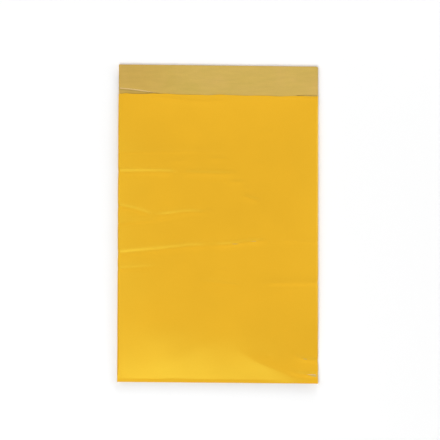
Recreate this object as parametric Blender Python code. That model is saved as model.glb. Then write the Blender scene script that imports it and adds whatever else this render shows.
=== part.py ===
"""A self-seal padded envelope, lying on its back with its flap open.

One coated sheet is wrapped into a flat tube: the back, the left fold, the
front, the right fold, and a margin that is glued inside the back's free edge.
A narrow seam closes the bottom, and the back runs on past the mouth as the
flap. A padded film, wrapped the same way, lines the tube. The flap carries a
band of adhesive under a peel-off liner.

Metres, +Z up. X runs across the width, +Y from the bottom seam to the flap.
The origin is the middle of the outline, on the surface that it lies on.
"""

import math

import bmesh
import bpy

# ---- driving dimensions, in metres -----------------------------------------
WIDTH = 0.240            # outside, across both side folds
BODY_LENGTH = 0.345      # from the bottom edge to the mouth
FLAP_LENGTH = 0.035      # from the mouth to the flap's free edge
THICKNESS = 0.0114       # empty and relaxed, over the middle of the padding
EDGE_THICKNESS = 0.0062  # the same, along the side folds
SHEET = 0.0003           # thickness of the coated paper
GLUE = 0.0001            # glue line between two layers of the sheet

FOLD = 0.0031            # how far in from its edge a side fold is round
BACK_EDGE = 0.0002       # the back's free edge, in from the right side's outline
FLAP_CUT = 46.0          # where the flap is cut off the left fold, in degrees
MARGIN = 0.015           # width of the glued margin, inside the right of the back
MARGIN_EASE = 0.006      # how gradually the layers step over its edge

SEAM = 0.0045            # width of the bottom seam
SEAM_LEVEL = 0.0032      # underside of the bottom seam, above the resting plane
FRONT_ROLL = 0.055       # from the bottom seam to where the front is level
BACK_ROLL = 0.040        # the same, for the back

LINING = 0.0024          # one layer of the padded film
SLACK = 0.0003           # between the film and the sheet
SLIT = 0.0001            # between the film's layers where they are pressed together
LINING_INSET = 0.0106    # how far inside the mouth the film stops
LINING_END = 0.0060      # how far above the bottom seam the film stops
LINING_JOINT = 0.0006    # where the film's two edges meet, inside the back
LIP_DROOP = 0.0018       # how far the unlined lip of the front sinks at the mouth
LIP_RISE = 0.0015        # how far the unlined lip of the back comes up to meet it

FLAP_LIFT = 0.0038       # height of the underside of the flap's free edge
FILM = 0.00015           # thickness of the adhesive, and of its liner
LINER_LOW, LINER_HIGH = 0.0022, 0.0342        # the liner's edges, past the mouth
ADHESIVE_LOW, ADHESIVE_HIGH = 0.0090, 0.0300  # the adhesive's edges, past the mouth

Y_BOTTOM = -(BODY_LENGTH + FLAP_LENGTH) / 2
Y_SEAM = Y_BOTTOM + SEAM
Y_MOUTH = Y_BOTTOM + BODY_LENGTH
X_FOLD = WIDTH / 2 - FOLD       # where a side fold begins to turn
X_BACK = WIDTH / 2 - BACK_EDGE  # the back's free edge


# ---- helpers ---------------------------------------------------------------
def clear_scene():
    for obj in list(bpy.data.objects):
        bpy.data.objects.remove(obj, do_unlink=True)


def collection(name):
    made = bpy.data.collections.new(name)
    bpy.context.scene.collection.children.link(made)
    return made


def material(name, colour, roughness, metallic=0.0):
    made = bpy.data.materials.new(name)
    made.use_nodes = True
    shader = made.node_tree.nodes["Principled BSDF"]
    shader.inputs["Base Color"].default_value = (*colour, 1.0)
    shader.inputs["Roughness"].default_value = roughness
    shader.inputs["Metallic"].default_value = metallic
    made.diffuse_color = (*colour, 1.0)
    return made


def smooth(t):
    t = min(1.0, max(0.0, t))
    return t * t * (3 - 2 * t)


def levelling(t):
    """A slope that starts at t = 0 and has levelled out at t = 1."""
    t = min(1.0, max(0.0, t))
    return t * (2 - t)


def thick_sheet(name, columns, rows, outer, inner, into, keep=None):
    """A grid primitive thickened into one closed sheet: outer(i, j) and
    inner(i, j) place its two faces at column i and row j, and a cell whose
    first corner fails keep(i, j) is cut out."""
    shape = bmesh.new()
    bmesh.ops.create_grid(shape, x_segments=columns - 1, y_segments=rows - 1, size=1.0)
    cell = {}
    for vert in shape.verts:
        i = round((vert.co.x + 1) / 2 * (columns - 1))
        j = round((vert.co.y + 1) / 2 * (rows - 1))
        cell[vert] = (i, j)
    if keep:
        cut = [
            face for face in shape.faces
            if not keep(min(cell[v][0] for v in face.verts), min(cell[v][1] for v in face.verts))
        ]
        bmesh.ops.delete(shape, geom=cut, context="FACES")
        cell = {v: c for v, c in cell.items() if v.is_valid}
    at = {(round(v.co.x, 5), round(v.co.y, 5)): c for v, c in cell.items()}
    grown = bmesh.ops.extrude_face_region(
        shape, geom=list(shape.faces), use_keep_orig=True
    )["geom"]
    copies = [v for v in grown if isinstance(v, bmesh.types.BMVert)]
    copied = {v: at[(round(v.co.x, 5), round(v.co.y, 5))] for v in copies}
    for vert, (i, j) in cell.items():
        vert.co = outer(i, j)
    for vert, (i, j) in copied.items():
        vert.co = inner(i, j)
    bmesh.ops.recalc_face_normals(shape, faces=shape.faces)
    if shape.calc_volume(signed=True) < 0:
        bmesh.ops.reverse_faces(shape, faces=shape.faces)
    mesh = bpy.data.meshes.new(name)
    shape.to_mesh(mesh)
    shape.free()
    obj = bpy.data.objects.new(name, mesh)
    into.objects.link(obj)
    return obj


def glued(obj, name, low, high, into):
    """Joins two layers of the sheet with a bar of glue between two corners."""
    bar = bmesh.new()
    bmesh.ops.create_cube(bar, size=1.0)
    bmesh.ops.scale(bar, verts=bar.verts, vec=[b - a for a, b in zip(low, high)])
    mesh = bpy.data.meshes.new(name)
    bar.to_mesh(mesh)
    bar.free()
    guide = bpy.data.objects.new(name, mesh)
    guide.location = [(a + b) / 2 for a, b in zip(low, high)]
    guide.hide_render = True
    guide.display_type = "WIRE"
    into.objects.link(guide)
    join = obj.modifiers.new(name, "BOOLEAN")
    join.operation = "UNION"
    join.object = guide


# ---- the padded form -------------------------------------------------------
def over_margin(x):
    """0 to 1 as the layers step up over the glued margin."""
    return smooth((x - (X_FOLD - MARGIN - MARGIN_EASE)) / (MARGIN_EASE - 0.0005))


def lip(y):
    """0 to 1 down the unlined lip of the front, towards the mouth."""
    return smooth((y - (Y_MOUTH - LINING_INSET + 0.001)) / (LINING_INSET - 0.001))


def under(y):
    """Height of the underside, along the middle of the back."""
    if y > Y_MOUTH:
        return LIP_RISE + (FLAP_LIFT - LIP_RISE) * smooth((y - Y_MOUTH) / FLAP_LENGTH)
    return SEAM_LEVEL * (1 - levelling((y - Y_SEAM) / BACK_ROLL)) + LIP_RISE * lip(y)


def through(x, y):
    """Thickness of the whole envelope: thin in the seam, and crowned in the
    middle, where the padding's layers stand apart."""
    crown = 1 - min(1.0, abs(x) / X_FOLD) ** 3
    flat = 2 * SHEET + GLUE + (SHEET + GLUE) * over_margin(x)
    full = EDGE_THICKNESS + (THICKNESS - EDGE_THICKNESS) * crown
    rise = levelling((y - Y_SEAM) / FRONT_ROLL)
    return flat + (full - flat) * rise - (LIP_RISE + LIP_DROOP * crown) * lip(y)


class Face:
    """One face of a layer, at a depth inside the skin. It never passes the
    middle of what is left between the front and the back."""

    def __init__(self, depth, back_extra=0.0):
        self.depth = depth
        self.back_extra = back_extra  # more depth on the back, over the margin

    def inside(self, x, y):
        return min(self.depth, through(x, y) / 2 - SLIT / 2)

    def back(self, x, y):
        deeper = self.back_extra * over_margin(x)
        return under(y) + min(self.inside(x, y) + deeper, through(x, y) / 2 - SLIT / 2)

    def front(self, x, y):
        return under(y) + through(x, y) - self.inside(x, y)

    def turn(self, sign, angle, low, high, y):
        """A point of a side fold, from its lower end at -90 to its upper at 90."""
        reach = max(FOLD - self.depth, SLIT)
        a = math.radians(angle)
        return (
            sign * (X_FOLD + reach * math.cos(a)),
            y,
            (low + high) / 2 + (high - low) / 2 * math.sin(a),
        )


SKIN = Face(0.0)
SHEET_IN = Face(SHEET)
FILM_OUT = Face(SHEET + SLACK, SHEET + GLUE)
FILM_IN = Face(SHEET + SLACK + LINING)

CROWN = [u * X_FOLD for u in (-1, -0.94, -0.85, -0.72, -0.55, -0.3, 0, 0.3, 0.55, 0.72, 0.85, 0.94, 1)]
MARGIN_STEP = [X_FOLD - MARGIN - MARGIN_EASE * k for k in (0.0, 0.5, 1.0)]
TURN_UP = [-67.5, -FLAP_CUT, -22.5, 0.0, 22.5, 45.0, 67.5]
ROLL = [FRONT_ROLL * part for part in (1.0, 0.82, 0.65, 0.50, 0.36, 0.24, 0.14, 0.05)]

LIP_ROWS = [Y_MOUTH - d for d in (0.0, 0.0025, 0.005, 0.0075, 0.010)]
FLAP_ROWS = [
    Y_MOUTH + d
    for d in (
        FLAP_LENGTH, LINER_HIGH, ADHESIVE_HIGH, 0.0250, 0.0200, 0.0145,
        ADHESIVE_LOW, 0.0050, LINER_LOW,
    )
]


def margin_z(face, x, y):
    """The glued margin lies on the back's inner face."""
    return SHEET_IN.back(x, y) + GLUE + face.depth


def make_outer(into, guides):
    """The coated sheet, from the back's free edge round to the glued margin."""
    columns = [("back", x) for x in (X_BACK, X_FOLD, X_FOLD - 0.003, *MARGIN_STEP)]
    columns += [("back", x) for x in (0.060, 0.0, -0.060, -0.104, -X_FOLD)]
    flap_end = len(columns) + TURN_UP.index(-FLAP_CUT)
    columns += [("left", a) for a in TURN_UP]
    front_start = len(columns)
    columns += [("front", x) for x in CROWN]
    columns += [("right", -a) for a in TURN_UP]
    columns += [("margin", x) for x in (X_FOLD, X_FOLD - 0.003, X_FOLD - MARGIN)]
    rows = FLAP_ROWS + LIP_ROWS + [0.060, -0.060]
    rows += [Y_SEAM + r for r in ROLL] + [Y_SEAM, Y_BOTTOM]
    mouth = rows.index(Y_MOUTH)

    def place(face):
        def at(i, j):
            kind, value = columns[i]
            y = rows[j]
            if kind == "back":
                return (value, y, face.back(value, y))
            if kind == "front":
                return (value, y, face.front(value, y))
            if kind == "margin":
                return (value, y, margin_z(face, value, y))
            if kind == "left":
                if y > Y_MOUTH:
                    x, _, z = face.turn(
                        -1, value, face.back(-X_FOLD, Y_MOUTH), face.front(-X_FOLD, Y_MOUTH), y
                    )
                    curl = (z - face.back(-X_FOLD, Y_MOUTH)) * (
                        1 - smooth((y - Y_MOUTH) / FLAP_LENGTH)
                    )
                    return (x, y, face.back(-X_FOLD, y) + curl)
                return face.turn(-1, value, face.back(-X_FOLD, y), face.front(-X_FOLD, y), y)
            return face.turn(1, value, margin_z(face, X_FOLD, y), face.front(X_FOLD, y), y)

        return at

    assert front_start > flap_end
    obj = thick_sheet(
        "outer_envelope", len(columns), len(rows), place(SKIN), place(SHEET_IN), into,
        keep=lambda i, j: j >= mouth or i < flap_end,
    )
    bite = SHEET / 3
    seam_low, seam_high = Y_BOTTOM + 0.0006, Y_SEAM - 0.0006
    glued(
        obj, "bottom_seam",
        (-X_FOLD + 0.0002, seam_low, SEAM_LEVEL + SHEET - bite),
        (MARGIN_STEP[2] - 0.0005, seam_high, SEAM_LEVEL + SHEET + GLUE + bite), guides,
    )
    for name, layer in (("seam_back_margin", 1), ("seam_margin_front", 2)):
        z = SEAM_LEVEL + layer * SHEET + (layer - 1) * GLUE
        glued(
            obj, name,
            (X_FOLD - MARGIN + 0.0008, seam_low, z - bite),
            (X_FOLD - 0.0008, seam_high, z + GLUE + bite), guides,
        )
    glued(
        obj, "margin_glue",
        (X_FOLD - MARGIN + 0.0010, Y_SEAM + BACK_ROLL + 0.001, SHEET - bite),
        (X_FOLD - 0.0010, Y_MOUTH - LINING_INSET, SHEET + GLUE + bite), guides,
    )
    return obj


def make_lining(into):
    """The padded film, wrapped once, with its two edges meeting inside the
    back. It thins where the seam presses it."""
    joint = MARGIN_STEP[2] - 0.010
    columns = [("back", x) for x in (joint - LINING_JOINT, 0.060, 0.0, -0.060, -0.104, -X_FOLD)]
    columns += [("left", a) for a in TURN_UP]
    columns += [("front", x) for x in CROWN]
    columns += [("right", -a) for a in TURN_UP]
    columns += [("back", x) for x in (X_FOLD, X_FOLD - 0.003, *MARGIN_STEP, joint)]
    rows = [Y_MOUTH - LINING_INSET, 0.060, -0.060]
    rows += [Y_SEAM + r for r in ROLL if r > LINING_END + 0.001] + [Y_SEAM + LINING_END]

    def place(face):
        def at(i, j):
            kind, value = columns[i]
            y = rows[j]
            if kind == "back":
                return (value, y, face.back(value, y))
            if kind == "front":
                return (value, y, face.front(value, y))
            sign = -1 if kind == "left" else 1
            return face.turn(
                sign, value, face.back(sign * X_FOLD, y), face.front(sign * X_FOLD, y), y
            )

        return at

    return thick_sheet(
        "bubble_lining", len(columns), len(rows), place(FILM_OUT), place(FILM_IN), into
    )


def make_strip(name, low, high, margin, offset, into):
    """A thin strip that follows the flap's inner face, offset above it."""
    xs = [X_BACK - 0.0010 - margin, 0.060, 0.0, -0.060, -X_FOLD + margin]
    rows = [
        y for y in FLAP_ROWS
        if Y_MOUTH + low - 1e-6 <= y <= Y_MOUTH + high + 1e-6
    ]

    def above(extra):
        def at(i, j):
            return (xs[i], rows[j], SHEET_IN.back(0.0, rows[j]) + offset + extra)
        return at

    return thick_sheet(name, len(xs), len(rows), above(FILM), above(0.0), into)


def main():
    clear_scene()
    envelope = collection("padded_envelope")
    guides = collection("glue_lines")

    outer = make_outer(envelope, guides)
    lining = make_lining(envelope)
    adhesive = make_strip(
        "adhesive_strip", ADHESIVE_LOW, ADHESIVE_HIGH, 0.0006, GLUE, envelope
    )
    liner = make_strip(
        "release_liner", LINER_LOW, LINER_HIGH, 0.0, 2 * GLUE + FILM, envelope
    )

    finishes = (
        (outer, material("yellow_coated_paper", (0.80, 0.45, 0.02), 0.42)),
        (lining, material("clear_bubble_film", (0.78, 0.80, 0.80), 0.25)),
        (adhesive, material("hot_melt_adhesive", (0.72, 0.62, 0.40), 0.30)),
        (liner, material("tan_release_paper", (0.62, 0.42, 0.12), 0.55)),
    )
    for obj, finish in finishes:
        obj.data.materials.append(finish)
        obj.data.shade_smooth()
        obj.data.set_sharp_from_angle(angle=math.radians(35))


main()
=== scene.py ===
import math

import bpy
import numpy as np
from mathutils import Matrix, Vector


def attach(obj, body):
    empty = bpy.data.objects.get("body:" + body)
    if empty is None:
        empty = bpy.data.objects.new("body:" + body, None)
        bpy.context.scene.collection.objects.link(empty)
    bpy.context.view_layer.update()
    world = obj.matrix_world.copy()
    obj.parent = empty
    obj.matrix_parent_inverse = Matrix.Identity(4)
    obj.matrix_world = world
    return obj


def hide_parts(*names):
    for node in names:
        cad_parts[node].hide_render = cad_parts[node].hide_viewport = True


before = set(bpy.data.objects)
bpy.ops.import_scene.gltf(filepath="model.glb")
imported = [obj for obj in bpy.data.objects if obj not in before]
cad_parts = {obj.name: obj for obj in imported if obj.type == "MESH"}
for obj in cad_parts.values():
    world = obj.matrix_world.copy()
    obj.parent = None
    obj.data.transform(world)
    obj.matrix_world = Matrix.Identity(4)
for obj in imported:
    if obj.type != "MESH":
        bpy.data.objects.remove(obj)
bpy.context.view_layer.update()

# ============================================================ the real sizes
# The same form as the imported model, in metres: X across, +Y to the flap.
WIDTH = 0.240
BODY_LENGTH = 0.345
FLAP_LENGTH = 0.035
THICKNESS = 0.0114
EDGE_THICKNESS = 0.0062
SHEET = 0.0003
GLUE = 0.0001
FOLD = 0.0031
BACK_EDGE = 0.0002
FLAP_CUT = 36.0
MARGIN = 0.015
MARGIN_EASE = 0.006
SEAM = 0.0045
SEAM_LEVEL = 0.0032
FRONT_ROLL = 0.055
BACK_ROLL = 0.040
LINING = 0.0024
SLACK = 0.0003
SLIT = 0.0001
LINING_INSET = 0.0106
LINING_END = 0.0060
LINING_JOINT = 0.0006
LIP_RISE = 0.0030      # how far the back stands off the table at the mouth
LIP_TOP = 0.0046       # the top of the front's lip, pressed nearly shut
CLOSING = 0.060        # how far in from the mouth the pack starts to thin
FLAP_LIFT = 0.0030
FILM = 0.00015
LINER_LOW, LINER_HIGH = 0.0022, 0.0342
ADHESIVE_LOW, ADHESIVE_HIGH = 0.0090, 0.0300

Y_BOTTOM = -(BODY_LENGTH + FLAP_LENGTH) / 2
Y_SEAM = Y_BOTTOM + SEAM
Y_MOUTH = Y_BOTTOM + BODY_LENGTH
Y_TOP = Y_MOUTH + FLAP_LENGTH
X_FOLD = WIDTH / 2 - FOLD
X_BACK = WIDTH / 2 - BACK_EDGE

SKEW = 0.00746     # the envelope was glued a little out of square

# ================================================================ the camera
scene = bpy.context.scene
scene.view_settings.view_transform = "Standard"
scene.view_settings.look = "None"
scene.view_settings.exposure = 0.0
scene.view_settings.gamma = 1.0

EYE = (-0.00611, -0.02415, 1.300)
TURN = [math.radians(a) for a in (1.255, -0.379, 0.132)]
LENS = 88.60
lens = bpy.data.cameras.new("view")
camera = bpy.data.objects.new("view", lens)
scene.collection.objects.link(camera)
camera.location = EYE
camera.rotation_euler = TURN
lens.sensor_width = 36.0
lens.lens = LENS
lens.clip_start = 0.05
lens.clip_end = 50.0
scene.camera = camera

FOCAL = LENS / 36.0 * 440.0
TO_WORLD = np.array(camera.rotation_euler.to_matrix())


def spot(px, py, level=0.0095):
    """The point of the sheet that shows at a place in the 440 x 440 picture,
    at a level above the floor, in the envelope's own squared-up frame."""
    ray = TO_WORLD @ np.array(((px - 220.0) / FOCAL, (220.0 - py) / FOCAL, -1.0))
    t = (level - EYE[2]) / ray[2]
    x, y = EYE[0] + t * ray[0], EYE[1] + t * ray[1]
    return np.array((x, y + SKEW * x))


# ====================================================== the form of the pack
def smooth(t):
    t = np.clip(t, 0.0, 1.0)
    return t * t * (3 - 2 * t)


def levelling(t):
    t = np.clip(t, 0.0, 1.0)
    return t * (2 - t)


def over_margin(x):
    return smooth((x - (X_FOLD - MARGIN - MARGIN_EASE)) / (MARGIN_EASE - 0.0005))


def lip(y):
    return smooth((y - (Y_MOUTH - 0.025)) / 0.025)


def seam_level(y):
    return SEAM_LEVEL * (1 - levelling((y - Y_SEAM) / BACK_ROLL))


def under(y):
    flap = LIP_RISE + (FLAP_LIFT - LIP_RISE) * smooth((y - Y_MOUTH) / FLAP_LENGTH)
    return np.where(y > Y_MOUTH, flap, seam_level(y) + LIP_RISE * lip(y))


# Where the padding is pressed thinner: the middle in the picture, the two
# half-widths in mm, the turn of the long axis in degrees, and the share of
# the thickness that is pressed away.
PRESSED_DEEPER = 0.0026
PRESSED = (
    ((326, 384), (38.0, 52.0), 10, 0.95),
)


def pressed(x, y):
    share = 0.0
    for middle, half, turn, amount in PRESSED:
        c = spot(*middle)
        a = math.radians(turn)
        u = ((x - c[0]) * math.cos(a) + (y - c[1]) * math.sin(a)) / (half[0] / 1000)
        v = ((y - c[1]) * math.cos(a) - (x - c[0]) * math.sin(a)) / (half[1] / 1000)
        share = share + amount * np.exp(-(u * u + v * v))
    return np.minimum(share, 0.95)


def front_roll(x):
    """How far the front rolls down to the bottom seam."""
    return FRONT_ROLL + 0.008 + 0.014 * (1 - np.minimum(1.0, np.abs(x) / X_FOLD) ** 2)


def through(x, y):
    crown = 1 - np.minimum(1.0, np.abs(x) / X_FOLD) ** 3
    flat = 2 * SHEET + GLUE + (SHEET + GLUE) * over_margin(x)
    full = EDGE_THICKNESS + (THICKNESS - EDGE_THICKNESS) * crown
    base = SEAM_LEVEL + flat
    rise = levelling((y - Y_SEAM) / front_roll(x)) * (1 - pressed(x, y))
    top = base + (full - base) * rise - PRESSED_DEEPER * pressed(x, y) * smooth((y - Y_SEAM) / 0.040)
    near = np.clip((y - (Y_MOUTH - CLOSING)) / CLOSING, 0.0, 1.0) ** 1.7
    top = top + (LIP_TOP - top) * near
    return top - seam_level(y) - LIP_RISE * lip(y)


# ------------------------------------------------- creases, dents and swells
# Each crease: its line in the picture, its height in mm (below zero for a
# furrow), its half-widths in mm above and below the line, and how much of
# each end fades out.
CREASES = (
    # line, height, above, below, fade at the start, fade at the end
    (((119, 152.0), (190, 152.0), (247, 152.6)), -0.30, 6.0, 1.9, 0.0, 0.5),
    (((206, 158.6), (231, 158.3)), -0.50, 2.4, 4.0, 0.4, 0.4),
    (((119, 171.9), (150, 171.9), (180, 172.6)), -1.15, 3.2, 4.4, 0.0, 0.2),
    (((178, 173.0), (215, 173.6), (243, 173.8)), -1.00, 3.0, 4.6, 0.2, 0.3),
    (((225, 182.2), (248, 181.8)), -0.60, 2.4, 4.0, 0.4, 0.4),
    (((240, 194.4), (250, 198.2), (263, 202.4)), -0.68, 2.6, 4.0, 0.35, 0.4),
    (((119, 205.8), (134, 209.0), (153, 215.2)), -0.80, 2.8, 3.0, 0.0, 0.2),
    (((150, 216.2), (170, 214.0), (190, 212.0), (212, 213.2)), -0.90, 2.8, 3.8, 0.25, 0.35),
    (((119, 223.4), (151, 220.1), (187, 215.5)), -0.55, 4.6, 2.2, 0.0, 0.4),
    (((119, 253.4), (160, 249.6), (192, 246.2), (218, 245.8)), -1.00, 3.4, 4.4, 0.0, 0.25),
    (((206, 246.0), (230, 244.6), (251, 241.6), (273, 239.8)), -1.15, 2.9, 3.6, 0.25, 0.3),
    (((274, 240.8), (300, 241.8), (317, 242.4)), -0.25, 5.0, 2.0, 0.3, 0.0),
    (((119, 268.9), (140, 267.4), (163, 265.6)), -0.48, 2.6, 3.0, 0.0, 0.45),
    (((193, 280.0), (212, 282.4), (249, 286.2)), -0.36, 2.4, 5.0, 0.4, 0.3),
    (((256, 284.0), (280, 283.4), (318, 283.4)), -0.66, 5.5, 2.4, 0.35, 0.0),
    # the lip, under the mouth
    (((143, 96.2), (162, 97.0), (181, 99.4), (205, 100.8), (238, 100.0)), -0.40, 2.0, 4.6, 0.25, 0.35),
    (((268, 98.6), (290, 97.0), (318, 98.4)), -0.26, 4.0, 1.8, 0.3, 0.0),
    # the buckle that runs in from the lower right corner
    (((228, 344), (248, 357), (268, 367), (288, 374), (314, 381)), 1.30, 8.0, 12.0, 0.6, 0.25),
    # gathers at the lower right fold
    (((290, 354.0), (304, 359.4), (319, 361.4)), -1.25, 2.6, 3.4, 0.6, 0.0),
    (((282, 368.0), (298, 374.4), (319, 376.4)), -1.40, 3.0, 3.2, 0.6, 0.0),
    (((290, 381.2), (319, 382.0)), -0.40, 2.0, 1.8, 0.5, 0.0),
    # along the bottom seam
    (((122, 379.6), (160, 379.4), (175, 378.2), (190, 380.0), (240, 380.8), (300, 381.2)), -0.12, 1.2, 1.4, 0.1, 0.3),
)

# Each swell or dent: its middle in the picture, its two half-widths in mm,
# the turn of its long axis in degrees, and its height in mm.
SWELLS = (
    ((181, 161), (11.0, 3.4), 8, -0.34),
    ((208, 212), (4.6, 4.0), 0, -0.34),
    ((201, 209), (3.0, 2.0), 40, 0.16),
    ((246, 188), (4.0, 2.4), 20, -0.26),
    ((224, 270), (3.4, 3.0), 0, -0.22),
    ((217, 304), (2.8, 2.6), 0, -0.18),
    ((269, 356), (3.2, 2.6), 20, -0.30),
    ((268, 132), (4.5, 2.4), 10, -0.26),
    ((198, 132), (28.0, 12.0), -40, -0.40),
    ((268, 217), (42.0, 8.0), -44, -0.28),
    ((150, 120), (20.0, 8.0), 12, 0.35),
    ((290, 118), (18.0, 7.0), 35, -0.30),
    ((150, 300), (30.0, 12.0), 20, -0.40),
    ((205, 345), (40.0, 11.0), 24, 0.40),
)


def along(points, P):
    """For each point of P, its signed distance to a bent line, plus on the
    upper side, and how far along the line its foot is, from 0 to 1."""
    legs = [np.linalg.norm(b - a) for a, b in zip(points, points[1:])]
    total = sum(legs)
    best = np.full(len(P), 1e9)
    side = np.zeros(len(P))
    part = np.zeros(len(P))
    run = 0.0
    for a, b, leg in zip(points, points[1:], legs):
        way = (b - a) / leg
        rel = P - a
        t = rel @ way
        over = way[0] * rel[:, 1] - way[1] * rel[:, 0]
        foot = np.clip(t, 0.0, leg)
        away = np.hypot(t - foot, over)
        near = away < best
        best = np.where(near, away, best)
        side = np.where(near, np.where(over >= 0, away, -away), side)
        part = np.where(near, (run + foot) / total, part)
        run += leg
    return side, part


def curve_through(points, steps=6):
    """A smooth line through the points."""
    p = [points[0] * 2 - points[1], *points, points[-1] * 2 - points[-2]]
    out = []
    for k in range(1, len(p) - 2):
        a, b, c, d = p[k - 1], p[k], p[k + 1], p[k + 2]
        for i in range(steps):
            t = i / steps
            out.append(0.5 * (2 * b + (c - a) * t + (2 * a - 5 * b + 4 * c - d) * t * t
                              + (3 * b - a - 3 * c + d) * t ** 3))
    out.append(points[-1])
    return out


def crease_height(P, creases):
    z = np.zeros(len(P))
    for line, rise, above, below, fade_in, fade_out in creases:
        points = curve_through([spot(*p) for p in line])
        reach = 4.5 * max(above, below) / 1000
        xs = [p[0] for p in points]
        ys = [p[1] for p in points]
        near = np.flatnonzero(
            (P[:, 0] > min(xs) - reach) & (P[:, 0] < max(xs) + reach)
            & (P[:, 1] > min(ys) - reach) & (P[:, 1] < max(ys) + reach)
        )
        if not len(near):
            continue
        side, part = along(points, P[near])
        half = np.where(side > 0, above, below) / 1000
        shape = np.exp(-np.abs(side / half) ** 1.6)
        ends = np.ones(len(near))
        if fade_in:
            ends *= smooth(part / fade_in)
        if fade_out:
            ends *= smooth((1 - part) / fade_out)
        z[near] += rise / 1000 * shape * ends
    return z


def swell_height(P, swells):
    z = np.zeros(len(P))
    for middle, half, turn, rise in swells:
        c = spot(*middle)
        a = math.radians(turn)
        rel = P - c
        u = (rel[:, 0] * math.cos(a) + rel[:, 1] * math.sin(a)) / (half[0] / 1000)
        v = (-rel[:, 0] * math.sin(a) + rel[:, 1] * math.cos(a)) / (half[1] / 1000)
        z += rise / 1000 * np.exp(-(u * u + v * v))
    return z


def soft_waves(P, rise, pitch, seed):
    """Slow unevenness of a padded face: a few crossing waves."""
    rng = np.random.default_rng(seed)
    z = np.zeros(len(P))
    for k in range(9):
        turn = rng.uniform(0, math.pi)
        size = pitch * rng.uniform(0.7, 1.6)
        phase = rng.uniform(0, 2 * math.pi)
        z += np.sin((P[:, 0] * math.cos(turn) + P[:, 1] * math.sin(turn)) * 2 * math.pi / size + phase)
    return z * rise / 3


def relief(x, y):
    """How far the front stands off its even form, in metres."""
    P = np.stack((x, y), axis=1)
    z = crease_height(P, CREASES) + swell_height(P, SWELLS)
    z += soft_waves(P, 0.00008, 0.045, 3)
    seam = smooth((y - (Y_BOTTOM + 0.0002)) / 0.004)
    return z * np.where(y < Y_SEAM + 0.01, 0.35 + 0.65 * seam, 1.0)


# The mouth's edge isn't cut quite straight: place in the picture, half-width
# in px, and how far it reaches up, in mm.
MOUTH_WAVES = (
    (126, 3.0, 0.6), (153, 6.0, 0.75), (166, 7.0, 0.75), (190, 8.0, -0.15), (208, 6.0, -0.45),
    (220, 6.0, 0.65), (246, 7.0, -0.35), (279, 8.0, -0.6), (301, 7.0, 0.25),
)


def mouth_wave(x):
    z = -0.0003 - 0.0009 * (x / WIDTH + 0.5)
    for px, half, rise in MOUTH_WAVES:
        mid = spot(px, 95)[0]
        z += rise / 1000 * np.exp(-((x - mid) / (half * 0.00119)) ** 2)
    return z


# ============================================================ the outer sheet
class Face:
    """One face of a layer, at a depth inside the skin."""

    def __init__(self, depth, back_extra=0.0):
        self.depth = depth
        self.back_extra = back_extra

    def inside(self, x, y):
        return np.minimum(self.depth, through(x, y) / 2 - SLIT / 2)

    def back(self, x, y):
        deeper = self.back_extra * over_margin(x)
        return under(y) + np.minimum(
            self.inside(x, y) + deeper, through(x, y) / 2 - SLIT / 2
        )

    def front(self, x, y):
        return under(y) + through(x, y) - self.inside(x, y)


SKIN = Face(0.0)
SHEET_IN = Face(SHEET)
FILM_OUT = Face(SHEET + SLACK, SHEET + GLUE)
FILM_IN = Face(SHEET + SLACK + LINING)


def skewed(x, y, z):
    return np.stack((x, y - SKEW * x, z), axis=-1)


def build_mesh(name, verts, faces, materials, which=None, smooth_angle=35):
    mesh = bpy.data.meshes.new(name)
    mesh.from_pydata([tuple(v) for v in verts], [], faces)
    for m in materials:
        mesh.materials.append(m)
    if which is not None:
        mesh.polygons.foreach_set("material_index", np.asarray(which, dtype=np.int32))
    mesh.validate()
    mesh.update()
    mesh.shade_smooth()
    mesh.set_sharp_from_angle(angle=math.radians(smooth_angle))
    obj = bpy.data.objects.new(name, mesh)
    scene.collection.objects.link(obj)
    return obj


def spaced(a, b, n):
    return list(np.linspace(a, b, n))


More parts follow.
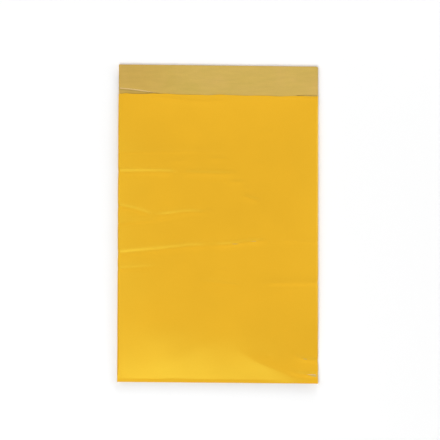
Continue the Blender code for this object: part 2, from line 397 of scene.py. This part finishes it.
def make_outer(materials):
    """The coated sheet, wrapped once: its outer face fine, its inner coarser."""
    # columns: kind and value, from the back's free edge to the glued margin
    cols = [("back", x) for x in (X_BACK, X_FOLD, X_FOLD - 0.003)]
    cols += [("back", X_FOLD - MARGIN - MARGIN_EASE * k) for k in (0.0, 0.25, 0.5, 0.75, 1.0)]
    cols += [("back", x) for x in spaced(0.085, -X_FOLD, 16)]
    turn = spaced(-90, 90, 14)[1:-1]
    cut = min(range(len(turn)), key=lambda k: abs(turn[k] + FLAP_CUT))
    turn[cut] = -FLAP_CUT
    flap_end = len(cols) + cut
    cols += [("left", a) for a in turn]
    cols += [("front", x) for x in spaced(-X_FOLD, X_FOLD, 110)]
    cols += [("right", a) for a in reversed([-t for t in reversed(turn)])][::1]
    # the right fold turns from the front down to the margin
    right_start = len(cols) - len(turn)
    cols[right_start:] = [("right", a) for a in spaced(90, -90, 14)[1:-1]]
    cols += [("margin", x) for x in (X_FOLD, X_FOLD - 0.003, X_FOLD - 0.009, X_FOLD - MARGIN)]

    rows = spaced(Y_BOTTOM, Y_SEAM, 6)
    rows += spaced(Y_SEAM, Y_MOUTH, int((Y_MOUTH - Y_SEAM) / 0.00085))[1:]
    mouth = len(rows) - 1
    rows += spaced(Y_MOUTH, Y_TOP, 37)[1:]
    rows = np.array(rows)
    J = len(rows)
    N = len(cols)

    # which rows the inner face keeps
    keep = [j for j in range(mouth + 1) if j % 4 == 0 or j in (0, mouth)]
    keep += list(range(mouth + 1, J))
    kept = {j: k for k, j in enumerate(keep)}

    wave_rows = smooth((rows - (Y_MOUTH - 0.020)) / 0.020) * (rows <= Y_MOUTH)

    def column(i, face, js):
        kind, value = cols[i]
        y = rows[js]
        x = np.full(len(y), value if kind in ("back", "front", "margin") else 0.0)
        if kind == "back":
            z = face.back(x, y)
            return x, y, z + flap_form(x, y)
        if kind == "front":
            yy = y + mouth_wave(x) * wave_rows[js]
            z = face.front(x, y) + relief(x, yy)
            return x, yy, z
        if kind == "margin":
            return x, y, SHEET_IN.back(x, y) + GLUE + face.depth
        sign = -1.0 if kind == "left" else 1.0
        edge = np.full(len(y), sign * X_FOLD)
        reach = max(FOLD - face.depth, SLIT)
        if kind == "left":
            reach = reach - 0.0004 * smooth((y - (Y_MOUTH - 0.030)) / 0.030) * (y <= Y_MOUTH)
        a = math.radians(value)
        if kind == "left":
            low = face.back(edge, y)
        else:
            low = SHEET_IN.back(edge, y) + GLUE + face.depth
        high = face.front(edge, y)
        flap = y > Y_MOUTH
        if kind == "left" and flap.any():
            m = np.full(1, Y_MOUTH)
            lo = face.back(edge[:1], m)[0]
            hi = face.front(edge[:1], m)[0]
            zz = (lo + hi) / 2 + (hi - lo) / 2 * math.sin(a)
            curl = (zz - lo) * (1 - smooth((y - Y_MOUTH) / FLAP_LENGTH))
            z_flap = low + curl
        else:
            z_flap = low
        weight = float(smooth(np.array((value + 45.0) / 110.0)))
        bulge = relief(edge, y) * weight
        z = (low + high) / 2 + (high - low) / 2 * math.sin(a) + bulge * math.sin(a)
        x = sign * (X_FOLD + reach * math.cos(a) + bulge * math.cos(a))
        z = np.where(flap, z_flap, z)
        x = np.where(flap, sign * (X_FOLD + reach * math.cos(a)), x)
        up = mouth_wave(edge) * wave_rows[js] * weight
        yy = np.where(flap, y, y + up)
        extra = flap_form(x, y) if kind == "left" else 0.0
        return x, yy, z + np.where(flap, extra, 0.0)

    verts = []
    outer = -np.ones((N, J), dtype=int)
    inner = -np.ones((N, len(keep)), dtype=int)
    for i in range(N):
        top = J if i <= flap_end else mouth + 1
        js = np.arange(top)
        x, y, z = column(i, SKIN, js)
        x, y = rounded(x, y)
        outer[i, :top] = np.arange(len(verts), len(verts) + top)
        verts.extend(skewed(x, y, z))
    for i in range(N):
        js = np.array([j for j in keep if j <= mouth or i <= flap_end])
        x, y, z = column(i, SHEET_IN, js)
        x, y = rounded(x, y)
        inner[i, : len(js)] = np.arange(len(verts), len(verts) + len(js))
        verts.extend(skewed(x, y, z))

    faces, which = [], []

    def put(face, m):
        faces.append([int(v) for v in face])
        which.append(m)

    for i in range(N - 1):
        top = J - 1 if i < flap_end else mouth
        for j in range(top):
            put((outer[i, j], outer[i, j + 1], outer[i + 1, j + 1], outer[i + 1, j]), 0)
        ks = len(keep) - 1 if i < flap_end else kept[mouth]
        for k in range(ks):
            put((inner[i, k], inner[i + 1, k], inner[i + 1, k + 1], inner[i, k + 1]), 1)
        # the bottom edge, and the edge of the mouth or of the flap
        put((outer[i, 0], outer[i + 1, 0], inner[i + 1, 0], inner[i, 0]), 2)
        put((outer[i, top], inner[i, ks], inner[i + 1, ks], outer[i + 1, top]), 2)

    def side(i, first, last, flip):
        """Closes a free edge that runs along the rows of one column."""
        for a, b in zip(keep, keep[1:]):
            if a < first or b > last:
                continue
            run = [outer[i, j] for j in range(a, b + 1)]
            ring = run + [inner[i, kept[b]], inner[i, kept[a]]]
            put(ring if flip else ring[::-1], 2)

    side(0, 0, J - 1, False)
    side(N - 1, 0, mouth, True)
    side(flap_end, mouth, J - 1, True)
    faces = [face[::-1] for face in faces]
    obj = build_mesh("envelope_sheet", verts, faces, materials, which, 40)
    return obj


def rounded(x, y):
    """The flap's right corner is a little round."""
    r = 0.0022
    cx, cy = X_BACK - r, Y_TOP - r
    dx, dy = x - cx, y - cy
    far = (dx > 0) & (dy > 0)
    length = np.maximum(np.hypot(dx, dy), 1e-9)
    square = np.maximum(dx, dy)
    k = np.where(far, square / length, 1.0)
    return np.where(far, cx + dx * k, x), np.where(far, cy + dy * k, y)


FLAP_CREASES = (
    # faint lines along the flap, then the crinkles across it
    (((130, 69.2), (190, 69.9), (250, 70.3), (312, 71.6)), 0.05, 0.9, 0.9, 0.2, 0.2),
    (((158, 90.8), (175, 91.6), (200, 91.2), (240, 92.0), (252, 92.2)), 0.12, 1.1, 1.5, 0.2, 0.2),
    (((185, 71), (187, 86)), 0.06, 1.2, 1.2, 0.3, 0.3),
    (((246.5, 76), (246, 89)), 0.06, 1.2, 1.2, 0.3, 0.3),
    (((258.5, 78), (258, 88)), 0.06, 1.0, 1.0, 0.3, 0.3),
    (((273, 77), (272.4, 91)), 0.10, 1.0, 1.0, 0.3, 0.3),
    (((277.5, 78), (276.5, 88)), 0.08, 0.9, 0.9, 0.3, 0.3),
    (((281, 75), (280, 90)), 0.10, 1.0, 1.0, 0.3, 0.3),
    (((126, 80), (133, 80.4)), -0.07, 1.0, 1.0, 0.4, 0.4),
    (((144, 77), (158, 77.4)), 0.05, 0.9, 0.9, 0.4, 0.4),
    (((146, 83), (151, 88)), -0.06, 1.2, 1.2, 0.4, 0.4),
    (((292, 86.5), (304, 85.6)), 0.06, 1.0, 1.2, 0.4, 0.4),
)


def flap_form(x, y):
    """Slow unevenness of the open flap, in metres."""
    P = np.stack((x + 0 * y, y + 0 * x), axis=1)
    out = soft_waves(P, 0.00012, 0.05, 8) * smooth((y - Y_MOUTH) / 0.012)
    return np.where(y > Y_MOUTH, out + 0.0001 * smooth((y - Y_MOUTH) / 0.012), 0.0)


# -------------------------------------------------- the strips on the flap
# The liner's lower edge: it runs down to the right, and its left end has come
# up off the flap.
LINER_EDGE = ((119, 88.9), (130, 89.9), (145, 91.7), (157, 93.2), (172, 96.4), (200, 98.2), (290, 98.6),
              (298, 95.2), (318, 95.5))


def liner_edge(x):
    pts = [spot(px, py, 0.0012) for px, py in LINER_EDGE]
    return np.interp(x, [p[0] for p in pts], [p[1] for p in pts])


def make_liner(materials):
    xs = np.array(spaced(-X_FOLD - 0.0017, X_BACK - 0.0006, 116))
    vs = np.array([0, 0.007, 0.014, 0.022, 0.031, 0.042, 0.056, 0.072, 0.09, 0.112, 0.14, *spaced(0.17, 0.985, 28), 1.0])
    top = Y_MOUTH + LINER_HIGH + 0.0003
    X = np.repeat(xs[:, None], len(vs), axis=1)
    low = liner_edge(xs)[:, None]
    Y = low + (top - low) * vs[None, :]
    x, y = X.ravel(), Y.ravel()
    base = SHEET_IN.back(x, y) + flap_form(x, y) + 2 * GLUE + FILM
    P = np.stack((x, y), axis=1)
    crinkle = crease_height(P, FLAP_CREASES) + soft_waves(P, 0.00006, 0.016, 21)
    # the lower edge stands off the flap at the left
    left = 1 - smooth((x + X_FOLD) / 0.058)
    off = (y - np.repeat(low, len(vs), axis=1).ravel())
    bead = np.where(off < 0.0012, np.sin(np.clip(off, 0, 0.0012) / 0.0012 * math.pi / 2),
                    np.exp(-(np.maximum(off - 0.0012, 0) / 0.0024) ** 1.6))
    curl = (0.00003 + 0.00060 * left) * bead
    fade = smooth((top - y) / 0.004)
    above = base + np.maximum(crinkle, -0.00008) * fade + curl + 0.00006
    x2, y2 = rounded(x, y)
    up = skewed(x2, y2, above + 0.00012)
    down = skewed(x2, y2, above)
    n, m = len(xs), len(vs)
    verts = list(up) + list(down)
    faces, which = [], []
    at = lambda i, j: i * m + j
    lo = n * m
    for i in range(n - 1):
        for j in range(m - 1):
            faces.append((at(i, j), at(i + 1, j), at(i + 1, j + 1), at(i, j + 1)))
            faces.append((lo + at(i, j), lo + at(i, j + 1), lo + at(i + 1, j + 1), lo + at(i + 1, j)))
            # along the raised left end the strip is painted paler: a painted highlight where its lifted edge catches
            # the light
            painted_highlight_rows = vs[j + 1] * (top - low[i, 0]) < 0.0015 * min(1.0, (-0.072 - xs[i]) / 0.022)
            which += [1 if painted_highlight_rows else 0, 0]
        faces.append((at(i, 0), lo + at(i, 0), lo + at(i + 1, 0), at(i + 1, 0)))
        faces.append((at(i, m - 1), at(i + 1, m - 1), lo + at(i + 1, m - 1), lo + at(i, m - 1)))
        which += [0, 0]
    for j in range(m - 1):
        faces.append((at(0, j), at(0, j + 1), lo + at(0, j + 1), lo + at(0, j)))
        faces.append((at(n - 1, j), lo + at(n - 1, j), lo + at(n - 1, j + 1), at(n - 1, j + 1)))
        which += [0, 0]
    return build_mesh("liner_strip", verts, faces, materials, which, 40)


def make_adhesive(materials):
    xs = np.array(spaced(-X_FOLD + 0.0006, X_BACK - 0.0016, 60))
    ys = np.array(spaced(Y_MOUTH + ADHESIVE_LOW, Y_MOUTH + ADHESIVE_HIGH, 14))
    X, Y = np.meshgrid(xs, ys, indexing="ij")
    x, y = X.ravel(), Y.ravel()
    base = SHEET_IN.back(x, y) + flap_form(x, y) + GLUE
    up, down = skewed(x, y, base + FILM), skewed(x, y, base)
    n, m = len(xs), len(ys)
    faces = []
    at = lambda i, j: i * m + j
    lo = n * m
    for i in range(n - 1):
        for j in range(m - 1):
            faces.append((at(i, j), at(i + 1, j), at(i + 1, j + 1), at(i, j + 1)))
            faces.append((lo + at(i, j), lo + at(i, j + 1), lo + at(i + 1, j + 1), lo + at(i + 1, j)))
        faces.append((at(i, 0), lo + at(i, 0), lo + at(i + 1, 0), at(i + 1, 0)))
        faces.append((at(i, m - 1), at(i + 1, m - 1), lo + at(i + 1, m - 1), lo + at(i, m - 1)))
    for j in range(m - 1):
        faces.append((at(0, j), at(0, j + 1), lo + at(0, j + 1), lo + at(0, j)))
        faces.append((at(n - 1, j), lo + at(n - 1, j), lo + at(n - 1, j + 1), at(n - 1, j + 1)))
    return build_mesh("adhesive_band", list(up) + list(down), faces, materials, None, 40)


# ---------------------------------------------------------- the bubble lining
BUBBLE_PITCH = 0.0105
BUBBLE_HALF = 0.0046
BUBBLE_HIGH = 0.0019
DEEP = 0.075       # how far in from the mouth the bubbles are modelled


def bubbles(x, y):
    """Height of the bubbles above the film, on a triangular grid."""
    step_y = BUBBLE_PITCH * math.sqrt(3) / 2
    top = Y_MOUTH - LINING_INSET - 0.0062
    row = np.round((top - y) / step_y)
    best = np.full(x.shape, 1e9)
    for d in (-1, 0, 1):
        r = np.maximum(row + d, 0)
        cy = top - r * step_y
        shift = np.where(np.mod(r, 2) == 1, 0.5, 0.0) * BUBBLE_PITCH
        cx = np.round((x - shift) / BUBBLE_PITCH) * BUBBLE_PITCH + shift
        best = np.minimum(best, np.hypot(x - cx, y - cy))
    t = np.clip(1 - (best / BUBBLE_HALF) ** 2, 0, 1)
    return BUBBLE_HIGH * t ** 0.55


def make_lining(materials):
    joint = X_FOLD - MARGIN - MARGIN_EASE - 0.010
    end = Y_MOUTH - LINING_INSET
    cols = [("back", x) for x in spaced(joint - LINING_JOINT, -X_FOLD, 150)]
    cols += [("left", a) for a in spaced(-90, 90, 12)[1:-1]]
    cols += [("front", x) for x in spaced(-X_FOLD, X_FOLD, 160)]
    cols += [("right", a) for a in spaced(90, -90, 12)[1:-1]]
    cols += [("back", x) for x in spaced(X_FOLD, joint, 24)]
    rows = spaced(Y_SEAM + LINING_END, Y_SEAM + FRONT_ROLL, 14)
    rows += spaced(rows[-1], end - DEEP, 12)[1:]
    rows += spaced(rows[-1], end, 58)[1:]
    rows = np.array(rows)
    N, J = len(cols), len(rows)
    fine = smooth((rows - (end - DEEP - 0.004)) / 0.004)

    def column(i, face, dome):
        kind, value = cols[i]
        y = rows
        if kind in ("back", "front"):
            x = np.full(J, value)
            room = np.maximum(through(x, y) / 2 - SLIT, 0.0)
            if kind == "back":
                z = face.back(x, y)
                grow = dome(x, y) if dome else 0.0
                return x, y, np.minimum(z + grow, under(y) + room) if dome else z
            z = face.front(x, y) + relief(x, y) - 0.0012 * (1 - fine)
            if not dome:
                return x, y, z
            # the front's bubbles stand between those of the back
            grow = dome(x + BUBBLE_PITCH / 2, y)
            return x, y, np.maximum(z - grow, under(y) + through(x, y) - room + relief(x, y))
        sign = -1.0 if kind == "left" else 1.0
        edge = np.full(J, sign * X_FOLD)
        reach = max(FOLD - face.depth, SLIT)
        a = math.radians(value)
        low, high = face.back(edge, y), face.front(edge, y) + relief(edge, y) - 0.0012 * (1 - fine)
        return (
            sign * (X_FOLD + reach * math.cos(a)) + 0 * y, y,
            (low + high) / 2 + (high - low) / 2 * math.sin(a),
        )

    film = Face(SHEET + SLACK + 0.0004, SHEET + GLUE)
    dome = lambda x, y: bubbles(x, y) * fine + (LINING - 0.0004) * (1 - fine)
    out_z = [column(i, FILM_OUT, None) for i in range(N)]
    in_z = [column(i, film, dome) for i in range(N)]
    verts = []
    for x, y, z in out_z + in_z:
        verts.extend(skewed(x, y, z))
    at = lambda i, j: i * J + j
    lo = N * J
    faces = []
    for i in range(N - 1):
        for j in range(J - 1):
            faces.append((at(i, j), at(i, j + 1), at(i + 1, j + 1), at(i + 1, j)))
            faces.append((lo + at(i, j), lo + at(i + 1, j), lo + at(i + 1, j + 1), lo + at(i, j + 1)))
        faces.append((at(i, 0), at(i + 1, 0), lo + at(i + 1, 0), lo + at(i, 0)))
        faces.append((at(i, J - 1), lo + at(i, J - 1), lo + at(i + 1, J - 1), at(i + 1, J - 1)))
    for j in range(J - 1):
        faces.append((at(0, j), lo + at(0, j), lo + at(0, j + 1), at(0, j + 1)))
        faces.append((at(N - 1, j), at(N - 1, j + 1), lo + at(N - 1, j + 1), lo + at(N - 1, j)))
    faces = [face[::-1] for face in faces]
    return build_mesh("bubble_film", verts, faces, materials, None, 50)


# ================================================================= materials
def finish(name, roughness, specular=0.5, tint=None):
    made = bpy.data.materials.new(name)
    made.use_nodes = True
    tree = made.node_tree
    shader = tree.nodes["Principled BSDF"]
    shader.inputs["Roughness"].default_value = roughness
    shader.inputs["Specular IOR Level"].default_value = specular
    if tint:
        shader.inputs["Specular Tint"].default_value = (*tint, 1.0)
    place = tree.nodes.new("ShaderNodeTexCoord")
    return made, tree, shader, place


def stretched(tree, place, scale):
    mapping = tree.nodes.new("ShaderNodeMapping")
    mapping.inputs["Scale"].default_value = scale
    tree.links.new(place.outputs["Object"], mapping.inputs["Vector"])
    return mapping.outputs["Vector"]


def noise(tree, vector, scale, detail=3.0, rough=0.55, distort=0.0):
    made = tree.nodes.new("ShaderNodeTexNoise")
    made.inputs["Scale"].default_value = scale
    made.inputs["Detail"].default_value = detail
    made.inputs["Roughness"].default_value = rough
    made.inputs["Distortion"].default_value = distort
    tree.links.new(vector, made.inputs["Vector"])
    return made.outputs["Fac"]


def ramp(tree, fac, stops):
    made = tree.nodes.new("ShaderNodeValToRGB")
    made.color_ramp.interpolation = "EASE"
    first, last = made.color_ramp.elements[0], made.color_ramp.elements[1]
    first.position, first.color = stops[0][0], (*stops[0][1], 1.0)
    last.position, last.color = stops[-1][0], (*stops[-1][1], 1.0)
    for place, colour in stops[1:-1]:
        e = made.color_ramp.elements.new(place)
        e.color = (*colour, 1.0)
    tree.links.new(fac, made.inputs["Fac"])
    return made.outputs["Color"]


def mixed(tree, kind, amount, a, b):
    made = tree.nodes.new("ShaderNodeMix")
    made.data_type = "RGBA"
    made.blend_type = kind
    made.inputs["Factor"].default_value = amount
    tree.links.new(a, made.inputs["A"])
    tree.links.new(b, made.inputs["B"])
    return made.outputs["Result"]


def bump(tree, shader, height, strength, distance, before=None):
    made = tree.nodes.new("ShaderNodeBump")
    made.inputs["Strength"].default_value = strength
    made.inputs["Distance"].default_value = distance
    tree.links.new(height, made.inputs["Height"])
    if before:
        tree.links.new(before, made.inputs["Normal"])
    tree.links.new(made.outputs["Normal"], shader.inputs["Normal"])
    return made.outputs["Normal"]


def scaled(colour, k):
    return tuple(c * k for c in colour)


YELLOW = (0.768, 0.417, 0.0220)
TAN = (0.600, 0.407, 0.089)


def yellow_coat():
    made, tree, shader, place = finish("yellow_coat", 0.33, 0.5, (1.0, 0.97, 0.12))
    flat = stretched(tree, place, (1, 1, 1))
    cloud = ramp(tree, noise(tree, flat, 14, 3), ((0.3, scaled(YELLOW, 0.985)), (0.7, scaled(YELLOW, 1.015))))
    grain = ramp(tree, noise(tree, flat, 700, 2), ((0.3, (0.985,) * 3), (0.7, (1.0,) * 3)))
    tree.links.new(mixed(tree, "MULTIPLY", 1.0, cloud, grain), shader.inputs["Base Color"])
    fine = bump(tree, shader, noise(tree, flat, 420, 3), 0.05, 0.0004)
    bump(tree, shader, noise(tree, flat, 90, 2), 0.06, 0.0010, fine)
    rough = tree.nodes.new("ShaderNodeMapRange")
    rough.inputs["To Min"].default_value = 0.30
    rough.inputs["To Max"].default_value = 0.36
    tree.links.new(noise(tree, flat, 60, 2), rough.inputs["Value"])
    tree.links.new(rough.outputs["Result"], shader.inputs["Roughness"])
    return made


def tan_paper(name, colour, roughness, streak):
    """Uncoated fibrous paper, streaked along its making direction, and darkened towards -X by painted shade."""
    made, tree, shader, place = finish(name, roughness, 0.3)
    flat = stretched(tree, place, (1, 1, 1))
    long = stretched(tree, place, (0.16, 1, 1))
    cloud = ramp(tree, noise(tree, flat, 28, 3), (
        (0.28, (colour[0] * 0.95, colour[1] * 0.97, colour[2] * 0.90)),
        (0.50, colour),
        (0.72, (colour[0] * 1.04, colour[1] * 1.01, colour[2] * 1.14)),
    ))
    streaks = ramp(tree, noise(tree, long, 260, 4, 0.6), ((0.3, (1 - streak,) * 3), (0.7, (1.0,) * 3)))
    specks = ramp(tree, noise(tree, flat, 1100, 2, 0.7), ((0.25, (0.93,) * 3), (0.5, (1.0,) * 3)))
    # painted shade: the paper colour is made darker towards -X, standing in for the dimmer light on the flap's left
    # end
    axes = tree.nodes.new("ShaderNodeSeparateXYZ")
    tree.links.new(place.outputs["Object"], axes.inputs["Vector"])
    painted_shade_span = tree.nodes.new("ShaderNodeMapRange")
    painted_shade_span.inputs["From Min"].default_value = -0.105
    painted_shade_span.inputs["From Max"].default_value = -0.025
    tree.links.new(axes.outputs["X"], painted_shade_span.inputs["Value"])
    painted_shade_left = ramp(tree, painted_shade_span.outputs["Result"], ((0.0, (0.935, 0.89, 0.82)), (1.0, (1.0,) * 3)))
    cloud = mixed(tree, "MULTIPLY", 1.0, cloud, painted_shade_left)
    colour_out = mixed(tree, "MULTIPLY", 1.0, mixed(tree, "MULTIPLY", 1.0, cloud, streaks), specks)
    tree.links.new(colour_out, shader.inputs["Base Color"])
    fine = bump(tree, shader, noise(tree, flat, 900, 3), 0.16, 0.0003)
    bump(tree, shader, noise(tree, long, 300, 3), 0.12, 0.0005, fine)
    return made


def cut_edge():
    made, tree, shader, place = finish("cut_edge", 0.7, 0.3)
    flat = stretched(tree, place, (1, 1, 1))
    core = ramp(tree, noise(tree, flat, 1500, 2), ((0.3, (0.60, 0.40, 0.12)), (0.7, (0.70, 0.48, 0.16))))
    tree.links.new(core, shader.inputs["Base Color"])
    return made


def clear_film():
    made, tree, shader, place = finish("clear_film", 0.22, 0.5)
    flat = stretched(tree, place, (1, 1, 1))
    haze = ramp(tree, noise(tree, flat, 50, 3), ((0.3, (0.80, 0.82, 0.82)), (0.7, (0.88, 0.89, 0.89))))
    tree.links.new(haze, shader.inputs["Base Color"])
    shader.inputs["Transmission Weight"].default_value = 0.35
    bump(tree, shader, noise(tree, flat, 500, 3), 0.15, 0.0004)
    return made


def glue_band():
    made, tree, shader, place = finish("glue_band", 0.28, 0.5)
    flat = stretched(tree, place, (1, 1, 1))
    tone = ramp(tree, noise(tree, flat, 80, 3), ((0.3, (0.62, 0.50, 0.26)), (0.7, (0.72, 0.60, 0.34))))
    tree.links.new(tone, shader.inputs["Base Color"])
    bump(tree, shader, noise(tree, flat, 400, 3), 0.2, 0.0004)
    return made


coat = yellow_coat()
inside = tan_paper("tan_inside", TAN, 0.62, 0.07)
edge = cut_edge()
liner_paper = tan_paper("tan_liner", TAN, 0.55, 0.06)
# a paler, glossier copy of the liner paper: painted highlight along the liner's raised lower edge
liner_highlight_paint = tan_paper("painted_highlight_liner", (0.80, 0.585, 0.235), 0.40, 0.03)
film = clear_film()
glue = glue_band()

# ================================================================ the pieces
sheet = make_outer((coat, inside, edge))
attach(sheet, "root")
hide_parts("outer_envelope")

lining = make_lining((film,))
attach(lining, "root")
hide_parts("bubble_lining")

liner = make_liner((liner_paper, liner_highlight_paint))
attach(liner, "root")
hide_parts("release_liner")

band = make_adhesive((glue,))
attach(band, "root")
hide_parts("adhesive_strip")

for node, finish_of in (
    ("outer_envelope", coat), ("bubble_lining", film),
    ("adhesive_strip", glue), ("release_liner", liner_paper),
):
    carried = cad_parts[node]
    carried = bpy.data.objects[carried] if isinstance(carried, str) else carried
    carried.data.materials.clear()
    carried.data.materials.append(finish_of)

# ========================================================= floor and lights
floor_mesh = bpy.data.meshes.new("floor")
S = 6.0
floor_mesh.from_pydata([(-S, -S, 0), (S, -S, 0), (S, S, 0), (-S, S, 0)], [], [(0, 1, 2, 3)])
floor = bpy.data.objects.new("floor", floor_mesh)
scene.collection.objects.link(floor)
white, tree, shader, place = finish("floor_white", 0.9, 0.1)
pale = ramp(tree, noise(tree, stretched(tree, place, (1, 1, 1)), 2.0, 2), ((0.3, (0.918,) * 3), (0.7, (0.926,) * 3)))
tree.links.new(pale, shader.inputs["Base Color"])
floor_mesh.materials.append(white)


# Round softboxes on a dome about the envelope: degrees from straight above,
# degrees round from +X, width in metres, power in watts.
LAMPS = (
    ("near_corner", 33, 236, 0.45, 6.2),
    ("near_front", 34, 266, 0.45, 5.2),
    ("high_right", 34, 0, 0.7, 1.8),
    ("high_left", 34, 180, 0.7, 4.4),
    ("high_corner", 34, 225, 0.7, 3.4),
    ("high_front_left", 34, 248, 0.6, 2.6),
    ("front", 46, 270, 0.8, 3.8),
    ("right", 58, 0, 0.9, 5.0),
    ("left_back", 58, 135, 0.9, 6.6),
    ("left", 58, 180, 0.9, 3.3),
    ("low_front", 58, 270, 0.9, 1.7),
    ("rim_right", 74, 10, 0.7, 8.0),
    ("rim_corner", 74, 45, 0.7, 5.2),
    ("rim_back", 74, 80, 0.7, 20.0),
)
DOME = 1.9


def softbox(name, tilt, round_by, size, power):
    data = bpy.data.lights.new(name, "AREA")
    data.shape = "DISK"
    data.size = size
    data.energy = power
    data.color = (1.0, 1.0, 1.0)
    lamp = bpy.data.objects.new(name, data)
    scene.collection.objects.link(lamp)
    tilt, round_by = math.radians(tilt), math.radians(round_by)
    lamp.location = (
        DOME * math.sin(tilt) * math.cos(round_by),
        DOME * math.sin(tilt) * math.sin(round_by),
        DOME * math.cos(tilt),
    )
    lamp.rotation_euler = (-Vector(lamp.location)).to_track_quat("-Z", "Y").to_euler()
    return lamp


for each in LAMPS:
    softbox(*each)

world = bpy.data.worlds.new("studio")
scene.world = world
world.use_nodes = True
world.node_tree.nodes["Background"].inputs["Color"].default_value = (1, 1, 1, 1)
world.node_tree.nodes["Background"].inputs["Strength"].default_value = 0.005
